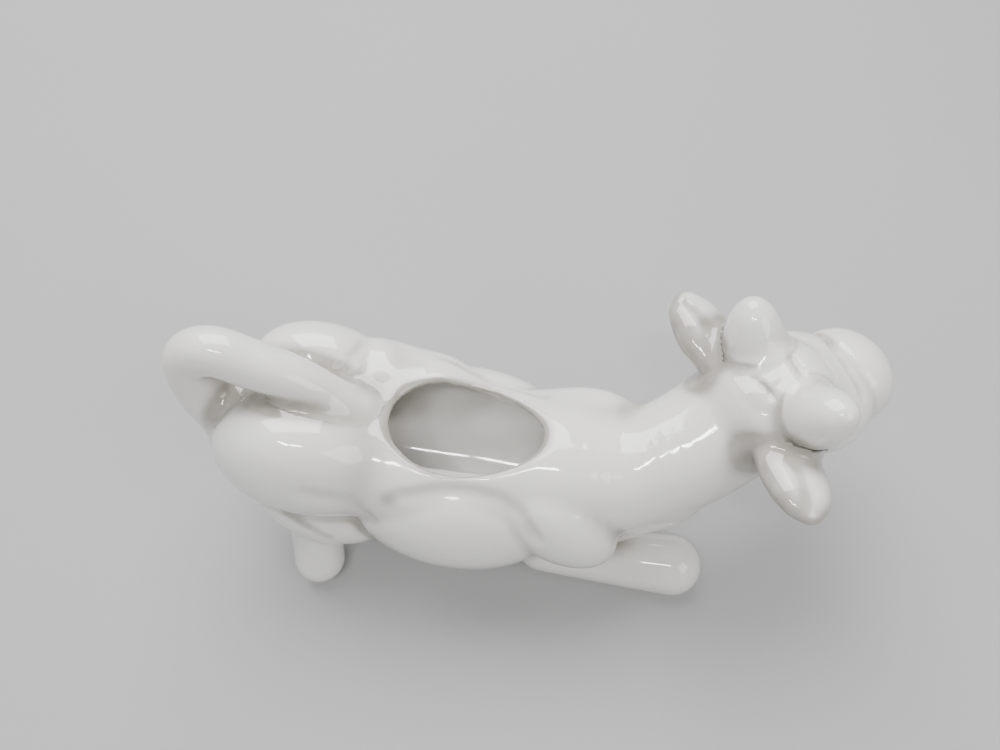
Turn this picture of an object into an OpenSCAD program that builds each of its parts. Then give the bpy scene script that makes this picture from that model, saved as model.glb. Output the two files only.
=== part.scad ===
/* [Barrel and rump] */
// Length of the egg that makes the barrel
barrel_length = 104; // [90:1:116]
// Width of the barrel
barrel_width = 42; // [36:1:48]
// Height of the barrel
barrel_height = 42; // [38:1:46]
// Height of the barrel's middle above the table
barrel_z = 39.5; // [37:0.5:43]
// Length of the rump
rump_length = 46; // [40:1:52]
// Width of the rump
rump_width = 38; // [34:1:42]
// Height of the rump, top to bottom
rump_height = 27; // [24:1:30]
// How far the rump's middle lies behind the filling hole
rump_back = 46; // [42:1:50]
// Height of the rump's middle above the table
rump_z = 47; // [44:1:50]

/* [Haunches] */
// Length of a haunch
haunch_length = 41; // [37:1:45]
// Width of a haunch
haunch_width = 25; // [22:1:28]
// Height of a haunch
haunch_height = 34; // [31:1:37]
// How far a haunch's middle lies behind the filling hole
haunch_back = 43; // [40:1:46]
// Sideways distance of a haunch's middle from the body's middle
haunch_side = 11.5; // [10:0.5:13]
// Height of a haunch's middle above the table
haunch_z = 48; // [45:1:51]
// Length of the fold below a haunch
fold_length = 36; // [32:1:40]
// Width of the fold
fold_width = 18; // [16:1:22]
// Height of the fold
fold_height = 20; // [17:1:23]
// Height of the fold's middle above the table
fold_z = 31; // [29:0.5:33]
// How far the fold's middle lies behind the filling hole
fold_back = 38.5; // [37:0.5:40]
// Sideways distance of the fold's middle from the body's middle
fold_side = 18; // [16.5:0.5:19.5]

/* [Belly and shoulders] */
// Length of a belly bulge
belly_length = 58; // [52:1:62]
// Width of a belly bulge
belly_width = 33; // [29:1:37]
// Height of a belly bulge
belly_height = 38; // [35:1:41]
// Sideways distance of a belly bulge's middle from the body's middle
belly_side = 12; // [10:0.5:14]
// Height of a belly bulge's middle above the table
belly_z = 34; // [32:0.5:36]
// Length of a shoulder
shoulder_length = 38; // [34:1:42]
// Width of a shoulder
shoulder_width = 20; // [18:1:23]
// Height of a shoulder
shoulder_height = 25; // [22:1:28]
// How far a shoulder's middle lies ahead of the filling hole
shoulder_ahead = 24; // [21:1:27]
// Sideways distance of a shoulder's middle from the body's middle
shoulder_side = 13.5; // [12:0.5:15]
// Height of a shoulder's middle above the table
shoulder_z = 39; // [37:0.5:41]

/* [Neck] */
// Thickness of the neck where it leaves the shoulders
neck_base_thickness = 32; // [28:1:34]
// Thickness of the neck at its middle
neck_thickness = 29; // [26:1:31]
// Thickness of the neck behind the ears
nape_thickness = 31; // [28:1:33]
// How far the joint between neck and head lies ahead of the filling hole
nape_ahead = 62; // [60:0.5:64]
// How far that joint lies to the left of the body's middle
nape_side = 12.5; // [11:0.5:14]
// Height of the middle of that joint above the table
nape_z = 52; // [50:0.5:54]
// Thickness of the brisket below the neck
brisket_thickness = 17; // [14:0.5:19]

/* [Head] */
// Turn of the head to the cow's left, in degrees
head_turn = 38; // [35:1:41]
// Droop of the face below level, in degrees
head_droop = 18; // [15:1:21]
// Length of the skull
skull_length = 34; // [31:1:37]
// Width of the skull
skull_width = 36; // [33:1:38]
// Depth of the skull
skull_depth = 26; // [24:1:28]
// How far the skull's middle lies ahead of the filling hole
skull_ahead = 74; // [72:0.5:76]
// How far the skull's middle lies to the left of the body's middle
skull_side = 20; // [18:0.5:22]
// Height of the skull's middle above the table
skull_z = 62; // [60:0.5:64]
// Distance from the skull's middle to the muzzle's middle
face_length = 30.5; // [28:0.5:32]
// Length of the muzzle's bulb
muzzle_length = 24; // [22:1:26]
// Width of the muzzle's bulb
muzzle_width = 28; // [25:1:31]
// Depth of the muzzle's bulb
muzzle_depth = 24; // [22:1:27]
// Width of the face across the cheeks
face_width = 36; // [33:1:39]
// Depth of the face from its front to the throat
face_depth = 23; // [21:0.5:25]

/* [Hollow] */
// Thickness of the body's wall
body_wall = 3.5; // [2.6:0.1:4.2]
// Thickness of the head's wall
head_wall = 3.5; // [2.6:0.1:4.2]
// Bore of the spout in the mouth
spout_bore = 8.5; // [7:0.5:10]
// Length of the filling hole
hole_length = 39; // [33:1:42]
// Width of the filling hole at its wide rear half
hole_width = 25; // [21:1:27]
// Radius of the hole's rounded lip
lip_radius = 1.6; // [1:0.1:2]

/* [Tail handle] */
// Thickness of the handle's bar
tail_thickness = 12.4; // [10:0.2:14]
// How far the handle's front end lies behind the filling hole's middle
tail_root_back = 31; // [30:0.5:33]
// How far back the handle reaches from its front end
tail_reach = 39; // [36:1:42]
// Rise of the handle above its front end
tail_rise = 19; // [16.5:0.5:20.5]

/* [Legs] */
// Thickness of a foreleg at the hoof
fore_hoof_thickness = 17.5; // [15:0.5:19]
// How far the right fore hoof lies ahead of the filling hole
right_fore_ahead = 60.5; // [57:0.5:64]
// How far the right fore hoof lies to the right of the body's middle
right_fore_side = 10; // [8:0.5:12]
// How far the left fore hoof lies ahead of the filling hole
left_fore_ahead = 46; // [43:1:49]
// How far the left fore hoof lies to the left of the body's middle
left_fore_side = 28; // [25:1:31]
// Thickness of a hind leg at the hoof
hind_hoof_thickness = 14.5; // [12.5:0.5:16]
// How far a hind hoof lies behind the filling hole
hind_back = 42.5; // [40:0.5:45]
// How far a hind hoof lies to the side of the body's middle
hind_side = 25.5; // [23:0.5:28]

/* [Ears and horns] */
// Distance between the two ear tips' middles
ear_spread = 56; // [50:1:60]
// Broadest part of an ear
ear_width = 16; // [14:0.5:18]
// Thickness of an ear as a share of its width
ear_flat_share = 0.55; // [0.45:0.05:0.7]
// Height of a horn's tip above the skull's middle
horn_rise = 15; // [13:0.5:18]
// Thickness of a horn at its tip
horn_tip_thickness = 7.5; // [6:0.5:9]
// Thickness of a horn at its root
horn_root_thickness = 16; // [14:0.5:18]

/* [Hidden] */
porcelain = "whitesmoke";

// How widely neighbouring forms melt into each other
rump_blend = 10;
haunch_blend = 12;
left_haunch_blend = 1;
left_haunch_out = 3;
flank_blend = 5;
crease_blend = 1.2;
neck_blend = 6;
head_blend = 3;
face_blend = 0.8;

// Tilts and turns of the forms, in degrees
haunch_tilt = -20;
fold_tilt = -20;
right_shoulder_tilt = -28;
left_shoulder_tilt = 10;
shoulder_turn = 12;

// The left shoulder stands a little further ahead and higher, and the belly a little further back
left_shoulder_lead = 1;
left_shoulder_rise = 2;
belly_back = 3;

// The flanks between haunch and belly, and the bulge of the left hip
flank_length = 36;
flank_width = 28;
flank_height = 26;
flank_back = 16;
left_flank_side = 13;
right_flank_side = 8;
flank_z = 44;
hip_length = 28;
hip_width = 24;
hip_height = 28;
hip_back = 29;
hip_side = 15;
hip_z = 46;

// The forehead, as a swelling above the skull
forehead_length = 26;
forehead_width = 28;
forehead_depth = 22;
forehead_rise = 4;

// The face below it, as an egg from the skull into the muzzle
face_drop = 3;
face_middle_share = 0.42;
face_overlap = 14;

// Table of the neck's course from the shoulders to the nape: shares ahead, left, up and of thickness
neck_course_shares = [
    [0, 0, 0, 0], [0.45, 0.2, 0.1, 0.2], [0.83, 0.7, 0.6, 0.8], [1.12, 1.3, 1.2, 1]
];
neck_base_ahead = 26;
neck_base_z = 42;

// The brisket starts low on the right and ends at these shares of the way to the nape
brisket_ahead = 40;
brisket_right = 4;
brisket_z = 27;
brisket_end_shares = [0.6, 0.25, 0.42];

// The filling hole's egg shape and place
hole_back = 1;
hole_left = 0.5;
hole_taper_share = 0.15;
hole_sides = 40;
lip_steps = 4;

// Courses of the limbs from their hoof to their root, as shares ahead, sideways and up, and thicknesses
reaching_leg_shares = [[1, 1, 1, 1], [0.6, 0.7, 0.15, 0.93], [0.3, 0.3, -0.08, 0.96], [0, 0, 0, 1]];
standing_leg_shares = [[1, 1, 1, 1.15], [0.6, 0.44, 0.37, 1], [0, 0, 0, 1]];
reaching_root = [23, -11, 13];
standing_root_z = 26;
fore_root_ahead = 32;
fore_root_side = 14;
hind_root_back = 44;
hind_root_side = 14;
hind_root_z = 24;
sole_flat = 1;
sole_cut_share = 2;

// Course of the tail's bar: shares of its reach back, its lean and its rise, and thicknesses
tail_course_shares = [
    [0, 0.8, 0, 0.85], [0.3, 0.8, 0.54, 0.97], [0.6, 1, 0.84, 1], [0.82, 1, 1, 1],
    [1, 1, 0.69, 1.08], [0.97, 0, 0, 1.35], [0.73, 0, -0.6, 1.9]
];
tail_bend_share = tail_course_shares[4][3];
tail_root_z = 56.5;
tail_lean = 1;

// Ears and horns, in the head's own frame
ear_back = 6.5;
ear_root_rise = -3;
right_ear_rise = -1;
left_ear_rise = 4;
right_ear_sweep = 7;
left_ear_sweep = 1.5;
left_ear_reach_share = 1.1;
ear_course_shares = [[0, 0.3, 0, 0.7], [0.4, 0.62, 0.5, 1.05], [0.7, 0.82, 0.8, 0.98], [1, 0.96, 1, 0.6]];
horn_root_back = 3;
horn_root_side = 10;
horn_root_rise = 6;
horn_tip_back = 5.5;
horn_tip_side = 15;

// Course of a horn from its root to its tip, as shares of its reach and of what it tapers by
horn_course_shares = [[0, 1], [0.45, 0.88], [0.85, 0.55], [1.1, 0.15]];

// Facets: sections round the skins, steps along them and along a bar
skin_sides = 40;
cavity_sides = 24;
cap_steps = 8;
barrel_steps = 26;
neck_steps = 11;
face_steps = 14;
cavity_share = 0.5;
march_steps = 12;
ball_sides = 16;
bar_steps = 4;
overrun = 5;
tiny = 0.0001;

function mix(a, b, share) = a + (b - a) * share;
function mixed(a, b, shares) = [for (i = [0 : 2]) mix(a[i], b[i], shares[i])];
function melt(a, b, width) =
    let (h = max(1 - abs((a - b) / width), 0))
    min(a, b) - h * h * width / 4;

// Matrix whose columns are the axes of something turned left and tipped up
function turned(left, up) = [
    [cos(left) * cos(up), -sin(left), -cos(left) * sin(up)],
    [sin(left) * cos(up), cos(left), -sin(left) * sin(up)],
    [sin(up), 0, cos(up)]
];

// A form is an egg: its middle, half sizes, axes and the width of its blend
function egg(middle, length, width, height, blend, axes = turned(0, 0)) =
    [middle, [length, width, height] / 2, axes, blend];

// Depth of a point in an egg: negative inside, and about a true distance near its skin
function egg_depth(p, form) =
    let (q = (p - form[0]) * form[2])
    let (u = [q.x / form[1].x, q.y / form[1].y, q.z / form[1].z])
    let (v = [u.x / form[1].x, u.y / form[1].y, u.z / form[1].z])
    let (k = norm(u))
    k * (k - 1) / max(norm(v), tiny);

// Depth of a point in a round-ended cone between two balls, each given as x, y, z and radius
function cone_depth(p, a, b) =
    let (from = [a.x, a.y, a.z])
    let (along = [b.x, b.y, b.z] - from)
    let (h = min(1, max(0, (p - from) * along / (along * along))))
    norm(p - from - h * along) - mix(a[3], b[3], h);

// Depth of a point in several eggs that melt together, one after another
function eggs_depth(p, forms, i, depth) =
    i == len(forms)
        ? depth
        : eggs_depth(p, forms, i + 1, melt(depth, egg_depth(p, forms[i]), forms[i][3]));

// A course is a list of balls, each x, y, z and radius, along a smooth curve through given balls
function curve_point(a, b, c, d, t) =
    0.5 * (2 * b + (c - a) * t + (2 * a - 5 * b + 4 * c - d) * t * t + (3 * b - a - 3 * c + d) * t * t * t);
function course(balls, steps) =
    let (last = len(balls) - 1)
    let (before = 2 * balls[0] - balls[1])
    let (after = 2 * balls[last] - balls[last - 1])
    [
        for (i = [0 : last - 1], k = [0 : steps - 1])
            curve_point(
                i == 0 ? before : balls[i - 1], balls[i], balls[i + 1],
                i == last - 1 ? after : balls[i + 2], k / steps
            ),
        balls[last]
    ];

function haunch(left, blend) =
    egg([-haunch_back, left, haunch_z], haunch_length, haunch_width, haunch_height,
        blend, turned(0, haunch_tilt));
function shoulder(middle, turn, tilt, blend) =
    egg(middle, shoulder_length, shoulder_width, shoulder_height, blend, turned(turn, tilt));
body_forms = [
    egg([-rump_back, 0, rump_z], rump_length, rump_width, rump_height, rump_blend),
    haunch(-haunch_side, haunch_blend),
    for (flank_side = [left_flank_side, -right_flank_side])
        egg([-flank_back, flank_side, flank_z], flank_length, flank_width, flank_height, flank_blend),
    egg([-hip_back, hip_side, hip_z], hip_length, hip_width, hip_height, flank_blend, turned(0, fold_tilt)),
    haunch(haunch_side + left_haunch_out, left_haunch_blend),
    for (side = [1, -1])
        egg([-fold_back, side * fold_side, fold_z], fold_length, fold_width, fold_height,
            crease_blend, turned(0, fold_tilt)),
    shoulder([shoulder_ahead, -shoulder_side, shoulder_z], -shoulder_turn, right_shoulder_tilt, crease_blend),
    shoulder(
        [shoulder_ahead + left_shoulder_lead, shoulder_side, shoulder_z + left_shoulder_rise],
        shoulder_turn, left_shoulder_tilt, flank_blend
    ),
    for (side = [1, -1])
        egg([-belly_back, side * belly_side, belly_z], belly_length, belly_width, belly_height, crease_blend)
];
barrel = egg([0, 0, barrel_z], barrel_length, barrel_width, barrel_height, rump_blend);

nape = [nape_ahead, nape_side, nape_z];
neck_base = [neck_base_ahead, 0, neck_base_z];
neck_links = 3;
neck_balls = course([
    for (i = [0 : len(neck_course_shares) - 1])
        let (share = neck_course_shares[i])
        let (thickness = i == 0 ? neck_base_thickness : mix(neck_thickness, nape_thickness, share[3]))
        [each mixed(neck_base, nape, share), thickness / 2]
], neck_links);
brisket = [brisket_ahead, -brisket_right, brisket_z];
brisket_balls = [
    [each brisket, brisket_thickness / 2],
    [each mixed(brisket, nape, brisket_end_shares), brisket_thickness / 2]
];

skull = [skull_ahead, skull_side, skull_z];
head_axes = turned(head_turn, -head_droop);
head_forms = [
    egg([0, 0, forehead_rise], forehead_length, forehead_width, forehead_depth, face_blend),
    egg([face_length, 0, -face_drop], muzzle_length, muzzle_width, muzzle_depth, face_blend)
];
skull_form = egg([0, 0, 0], skull_length, skull_width, skull_depth, head_blend);
face_form = egg(
    [face_middle_share * face_length, 0, -face_drop],
    face_length + face_overlap, face_width, face_depth, head_blend
);

function neck_depth(p) =
    min([for (i = [0 : len(neck_balls) - 2]) cone_depth(p, neck_balls[i], neck_balls[i + 1])]);
function body_depth(p) =
    let (trunk = eggs_depth(p, body_forms, 0, egg_depth(p, barrel)))
    let (necked = melt(trunk, neck_depth(p), neck_blend))
    melt(necked, cone_depth(p, brisket_balls[0], brisket_balls[1]), flank_blend);
function head_depth(p) =
    let (q = (p - skull) * head_axes)
    let (face = melt(egg_depth(q, skull_form), egg_depth(q, face_form), head_blend))
    eggs_depth(q, head_forms, 0, face);
function cow_depth(p) = melt(body_depth(p), head_depth(p), head_blend);

// Distance from a point inside the cow along a way to the skin, or to the level that deep below it
function reach(from, way, level, t = 0, left = march_steps) =
    left == 0 ? t : reach(from, way, level, t - cow_depth(from + t * way) - level, left - 1);

// A station is a point on the cow's middle line, the turn of its section and the lean of its rays
function section(station, sides, level) =
    let (left = [-sin(station[1]), cos(station[1]), 0])
    let (ahead = [cos(station[1]), sin(station[1]), 0])
    [
        for (k = [0 : sides - 1])
            let (around = 360 * k / sides)
            let (out = cos(around) * left + [0, 0, sin(around)])
            let (way = cos(station[2]) * out + sin(station[2]) * ahead)
            station[0] + way * reach(station[0], way, level)
    ];
function tip(station, side, level) =
    let (way = side * [cos(station[1]), sin(station[1]), 0])
    station[0] + way * reach(station[0], way, level);

rump_middle = [-rump_back, 0, haunch_z];
shoulder_middle = [neck_base_ahead, 0, barrel_z];
muzzle_middle = skull + head_axes * [face_length, 0, -face_drop];
face_turn = atan2(muzzle_middle.y - nape.y, muzzle_middle.x - nape.x);
function cap_stations(middle, turn, side, steps) =
    [for (i = [1 : steps - 1]) [middle, turn, side * 90 * i / steps]];
function barrel_stations(steps) =
    [for (i = [0 : steps - 1]) [mix(rump_middle, shoulder_middle, i / steps), 0, 0]];
function neck_stations(steps) = [
    for (i = [0 : steps - 1])
        let (t = i / steps)
        let (middle = [mix(shoulder_middle.x, nape.x, t), nape.y * t * t, mix(shoulder_middle.z, nape.z, t)])
        [middle, face_turn * t, 0]
];
function face_stations(steps) =
    [for (i = [1 : steps]) [mix(nape, muzzle_middle, i / steps), face_turn, 0]];
nape_station = [nape, face_turn, 0];
function beside_nape(distance) = [nape + distance * [cos(face_turn), sin(face_turn), 0], face_turn, 0];
function rear_cap(steps) =
    let (stations = cap_stations(rump_middle, 0, -1, steps))
    [for (i = [len(stations) - 1 : -1 : 0]) stations[i]];

// The origin lies below the middle of the whole cow's outline box
function egg_reach(form, axes, row) =
    norm([for (i = [0 : 2]) axes[row][i] * form[1][i]]);
front_x = muzzle_middle.x + egg_reach(head_forms[1], head_axes, 0);
left_y = muzzle_middle.y + egg_reach(head_forms[1], head_axes, 1);
rear_x = -tail_root_back - tail_reach - tail_bend_share * tail_thickness / 2;
right_y = -hind_side - hind_hoof_thickness / 2;
module placed() {
    translate([-front_x - rear_x, -left_y - right_y, 0] / 2) children();
}

// A closed skin through sections, with a point at each end
module skin(sections, first_tip, last_tip) {
    sides = len(sections[0]);
    count = len(sections);
    points = [first_tip, for (s = sections) each s, last_tip];
    last = len(points) - 1;
    faces = [
        for (k = [0 : sides - 1]) [0, 1 + k, 1 + (k + 1) % sides],
        for (i = [0 : count - 2], k = [0 : sides - 1])
            let (a = 1 + i * sides + k)
            let (b = 1 + i * sides + (k + 1) % sides)
            each [[a, a + sides, b + sides], [a, b + sides, b]],
        for (k = [0 : sides - 1])
            let (ring = 1 + (count - 1) * sides)
            [last, ring + (k + 1) % sides, ring + k]
    ];
    polyhedron(points, faces);
}

module body_skin() {
    stations = [
        each rear_cap(cap_steps),
        each barrel_stations(barrel_steps),
        each neck_stations(neck_steps),
        nape_station
    ];
    sections = [for (s = stations) section(s, skin_sides, 0)];
    skin(sections, tip(stations[0], -1, 0), nape);
}

module body_cavity() {
    stations = [
        each rear_cap(cap_steps * cavity_share),
        each barrel_stations(barrel_steps * cavity_share),
        each neck_stations(neck_steps * cavity_share),
        beside_nape(overrun)
    ];
    sections = [for (s = stations) section(s, cavity_sides, body_wall)];
    skin(sections, tip(stations[0], -1, body_wall), beside_nape(overrun)[0]);
}

module head_skin() {
    stations = [
        nape_station,
        each face_stations(face_steps),
        each cap_stations(muzzle_middle, face_turn, 1, cap_steps)
    ];
    sections = [for (s = stations) section(s, skin_sides, 0)];
    skin(sections, nape, tip(stations[len(stations) - 1], 1, 0));
}

module head_cavity() {
    stations = [
        beside_nape(-overrun),
        each face_stations(face_steps * cavity_share),
        each cap_stations(muzzle_middle, face_turn, 1, cap_steps * cavity_share)
    ];
    sections = [for (s = stations) section(s, cavity_sides, head_wall)];
    skin(sections, beside_nape(-overrun)[0], tip(stations[len(stations) - 1], 1, head_wall));
}

// The filling hole: an egg-shaped well whose rounded lip follows the back's height all round
function hole_point(around, widen) = [
    (hole_length / 2 + widen) * cos(around) - hole_back,
    (hole_width / 2 * (1 - hole_taper_share * cos(around)) + widen) * sin(around) + hole_left
];
module filling_hole() {
    backs = [
        for (k = [0 : hole_sides - 1])
            let (edge = hole_point(360 * k / hole_sides, lip_radius))
            let (inside = [edge.x, edge.y, barrel_z])
            barrel_z + reach(inside, [0, 0, 1], 0)
    ];
    function ring(widen, rise) = [
        for (k = [0 : hole_sides - 1])
            let (edge = hole_point(360 * k / hole_sides, widen))
            [edge.x, edge.y, backs[k] + rise]
    ];
    floor_ring = [
        for (k = [0 : hole_sides - 1])
            let (edge = hole_point(360 * k / hole_sides, 0))
            [edge.x, edge.y, barrel_z]
    ];
    lip_rings = [
        for (i = [0 : lip_steps])
            let (a = 90 * i / lip_steps)
            ring(lip_radius * (1 - cos(a)), lip_radius * (sin(a) - 1))
    ];
    low = [-hole_back, hole_left, barrel_z];
    high = [-hole_back, hole_left, barrel_z + barrel_height];
    skin([floor_ring, each lip_rings, ring(lip_radius, overrun)], low, high);
}

// The spout: a bore from the hollow muzzle out through the mouth
module spout() {
    translate(skull) rotate([0, 0, head_turn]) rotate([0, head_droop, 0])
        translate([face_length, 0, -face_drop]) rotate([0, 90, 0])
            cylinder(d = spout_bore, h = muzzle_length, $fn = 2 * ball_sides);
}

// A round bar along a course of balls, which may be flattened
module bar(balls, flat_share = 1) {
    for (i = [0 : len(balls) - 2]) hull() {
        for (b = [balls[i], balls[i + 1]])
            translate([b.x, b.y, b.z]) scale([1, 1, flat_share]) sphere(r = b[3], $fn = ball_sides);
    }
}

// A leg's course from its root to its hoof, cut flat at the table
function leg_balls(root, hoof, thickness, shares) =
    [for (s = shares) [each mixed(hoof, root, s), s[3] * thickness / 2]];
module leg(root, hoof, thickness, shares) {
    difference() {
        bar(course(leg_balls(root, hoof, thickness, shares), bar_steps));
        body_skin();
        translate([hoof.x, hoof.y, -thickness])
            cylinder(r = sole_cut_share * thickness, h = thickness, $fn = ball_sides);
    }
}

module body_shell() {
    color(porcelain) placed() difference() {
        body_skin();
        body_cavity();
        filling_hole();
    }
}
module head_shell() {
    color(porcelain) placed() difference() {
        head_skin();
        head_cavity();
        spout();
    }
}
module tail_handle() {
    balls = [
        for (s = tail_course_shares)
            [-tail_root_back - tail_reach * s.x, tail_lean * s.y, tail_root_z + tail_rise * s.z,
                s[3] * tail_thickness / 2]
    ];
    color(porcelain) placed() difference() {
        bar(course(balls, bar_steps));
        body_skin();
    }
}
module right_fore_leg() {
    color(porcelain) placed() leg(
        reaching_root,
        [right_fore_ahead, -right_fore_side, fore_hoof_thickness / 2 - sole_flat],
        fore_hoof_thickness, reaching_leg_shares
    );
}
module left_fore_leg() {
    color(porcelain) placed() leg(
        [fore_root_ahead, fore_root_side, standing_root_z],
        [left_fore_ahead, left_fore_side, fore_hoof_thickness / 2 - sole_flat],
        fore_hoof_thickness, standing_leg_shares
    );
}
module hind_leg(side) {
    color(porcelain) placed() leg(
        [-hind_root_back, side * hind_root_side, hind_root_z],
        [-hind_back, side * hind_side, hind_hoof_thickness / 2 - sole_flat],
        hind_hoof_thickness, standing_leg_shares
    );
}
module right_hind_leg() { hind_leg(-1); }
module left_hind_leg() { hind_leg(1); }

module horn_bar(side) {
    root = [-horn_root_back, side * horn_root_side, horn_root_rise];
    point = [-horn_tip_back, side * horn_tip_side, horn_rise];
    balls = [
        for (s = horn_course_shares)
            [each mix(root, point, s.x), mix(horn_tip_thickness, horn_root_thickness, s.y) / 2]
    ];
    bar(course(balls, bar_steps));
}
module on_head() {
    translate(skull) rotate([0, 0, head_turn]) rotate([0, head_droop, 0]) children();
}
module horn(side) {
    color(porcelain) placed() difference() {
        on_head() horn_bar(side);
        head_skin();
        body_skin();
    }
}
module right_horn() { horn(-1); }
module left_horn() { horn(1); }

module ear(side, reach_share, rise, sweep) {
    reach = side * reach_share * ear_spread / 2;
    balls = [
        for (s = ear_course_shares)
            [-ear_back - sweep * s.x, reach * s.y, mix(ear_root_rise, rise, s.z), s[3] * ear_width / 2]
    ];
    color(porcelain) placed() difference() {
        on_head() bar(course(balls, bar_steps), ear_flat_share);
        head_skin();
        body_skin();
        on_head() horn_bar(side);
    }
}
module right_ear() { ear(-1, 1, right_ear_rise, right_ear_sweep); }
module left_ear() { ear(1, left_ear_reach_share, left_ear_rise, left_ear_sweep); }

body_shell();
head_shell();
tail_handle();
right_fore_leg();
left_fore_leg();
right_hind_leg();
left_hind_leg();
right_ear();
left_ear();
right_horn();
left_horn();
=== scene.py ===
"""Cow creamer in glazed porcelain: cast body and head, with rolled tail, legs, ears and horns."""
import math
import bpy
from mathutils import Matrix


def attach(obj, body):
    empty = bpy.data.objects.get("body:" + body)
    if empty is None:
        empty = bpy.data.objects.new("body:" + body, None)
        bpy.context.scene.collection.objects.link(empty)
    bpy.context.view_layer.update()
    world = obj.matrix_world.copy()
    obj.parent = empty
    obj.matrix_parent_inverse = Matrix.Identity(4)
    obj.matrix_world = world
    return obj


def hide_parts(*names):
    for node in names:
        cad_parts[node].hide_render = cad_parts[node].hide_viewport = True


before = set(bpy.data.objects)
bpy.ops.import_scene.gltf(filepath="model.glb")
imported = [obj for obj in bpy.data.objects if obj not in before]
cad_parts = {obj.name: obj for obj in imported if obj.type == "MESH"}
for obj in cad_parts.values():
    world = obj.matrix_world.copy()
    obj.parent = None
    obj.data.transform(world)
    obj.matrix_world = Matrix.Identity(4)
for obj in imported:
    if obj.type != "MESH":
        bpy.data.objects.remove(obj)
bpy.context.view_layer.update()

from types import SimpleNamespace

import bmesh
import bpy
import numpy as np
from bpy.props import FloatProperty, FloatVectorProperty, IntProperty, PointerProperty
from mathutils import Matrix, Vector

bl_info = {
    "name": "Cow creamer",
    "version": (1, 0, 0),
    "blender": (4, 5, 0),
    "location": "3D View > Sidebar > Creamer",
    "description": "Builds a porcelain cow creamer from its sizes",
    "category": "Object",
}


def size(name, mm, description):
    return FloatProperty(name=name, description=description, default=mm / 1000, min=0, unit="LENGTH", precision=5)


def lengths(**rows):
    """Length properties from their millimetres and descriptions, labelled after their keys"""
    return {key: size(key.replace("_", " ").capitalize(), mm, text) for key, (mm, text) in rows.items()}


FORM_WORDS = {"length": "Length of {}", "width": "Width of {}", "height": "Height of {}", "depth": "Depth of {}",
              "back": "How far the middle of {} lies behind the filling hole",
              "ahead": "How far the middle of {} lies ahead of the filling hole",
              "side": "How far the middle of {} lies to the side",
              "z": "Height of the middle of {} above the table"}


def form(key, words, **rows):
    """Rows of sizes that every form has, for the form with these words"""
    return {key + "_" + end: (mm, FORM_WORDS[end].format(words)) for end, mm in rows.items()}


def turn(name, degrees, description):
    return FloatProperty(name=name, description=description, default=math.radians(degrees), subtype="ANGLE")


def share(name, value, description):
    return FloatProperty(name=name, description=description, default=value)


class BodySizes(bpy.types.PropertyGroup):
    """Sizes of the cast body"""
    __annotations__ = lengths(
        **form("barrel", "the barrel", length=104, width=42, height=42, z=39.5),
        **form("rump", "the rump", length=46, width=38, height=27, back=46, z=47),
        **form("haunch", "a haunch", length=41, width=25, height=34, back=43, side=11.5, z=48),
        **form("fold", "the fold below a haunch", length=36, width=18, height=20, back=38.5, side=18, z=31),
        **form("belly", "a belly bulge", length=58, width=33, height=38, side=12, z=34),
        **form("shoulder", "a shoulder", length=38, width=20, height=25, ahead=24, side=13.5, z=39),
        wall=(3.5, "Thickness of the cast wall"),
        hole_length=(39, "Length of the filling hole"),
        hole_width=(25, "Width of the filling hole at its wide rear half"),
        lip=(2.6, "How widely the filling hole's lip is rounded"))


class HeadSizes(bpy.types.PropertyGroup):
    """Sizes of the neck and the cast head"""
    __annotations__ = lengths(
        neck_base=(32, "Thickness of the neck where it leaves the shoulders"),
        neck=(29, "Thickness of the neck at its middle"),
        nape=(31, "Thickness of the neck behind the ears"),
        **form("nape", "the joint of neck and head", ahead=62, side=12.5, z=52),
        brisket=(17, "Thickness of the brisket below the neck"),
        **form("skull", "the skull", length=34, width=36, depth=26, ahead=74, side=20, z=62),
        face=(30.5, "Distance from the skull's middle to the muzzle's middle"),
        **form("muzzle", "the muzzle", length=24, width=28, depth=24),
        face_width=(36, "Width of the face across the cheeks"),
        face_depth=(23, "Depth of the face from its front to the throat"),
        spout=(8.5, "Bore of the spout in the mouth"))
    turn: turn("Head turn", 38, "Turn of the head to the cow's left")
    droop: turn("Head droop", 18, "Droop of the face below level")


class LimbSizes(bpy.types.PropertyGroup):
    """Sizes of the rolled limbs"""
    __annotations__ = lengths(
        tail=(12.4, "Thickness of the tail's bar"),
        tail_root=(31, "How far the tail's front end lies behind the hole"),
        tail_reach=(39, "How far back the tail reaches from its front end"),
        tail_rise=(19, "Rise of the tail above its front end"),
        fore_hoof=(17.5, "Thickness of a foreleg at the hoof"),
        **form("right_fore", "the right fore hoof", ahead=60.5, side=10),
        **form("left_fore", "the left fore hoof", ahead=46, side=28),
        hind_hoof=(14.5, "Thickness of a hind leg at the hoof"),
        **form("hind", "a hind hoof", back=42.5, side=25.5),
        ear_spread=(56, "Distance between the two ear tips' middles"),
        ear_width=(16, "Broadest part of an ear"),
        horn_rise=(15, "Height of a horn's tip above the skull's middle"),
        horn_tip=(7.5, "Thickness of a horn at its tip"),
        horn_root=(16, "Thickness of a horn at its root"),
        lute=(4, "Width of the smoothed clay where a limb joins"),
        horn_lute=(3.5, "Width of the smoothed clay where an ear or horn joins"))
    ear_flat: share("Ear flatness", 0.55, "Thickness of an ear as a share of its width")


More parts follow.
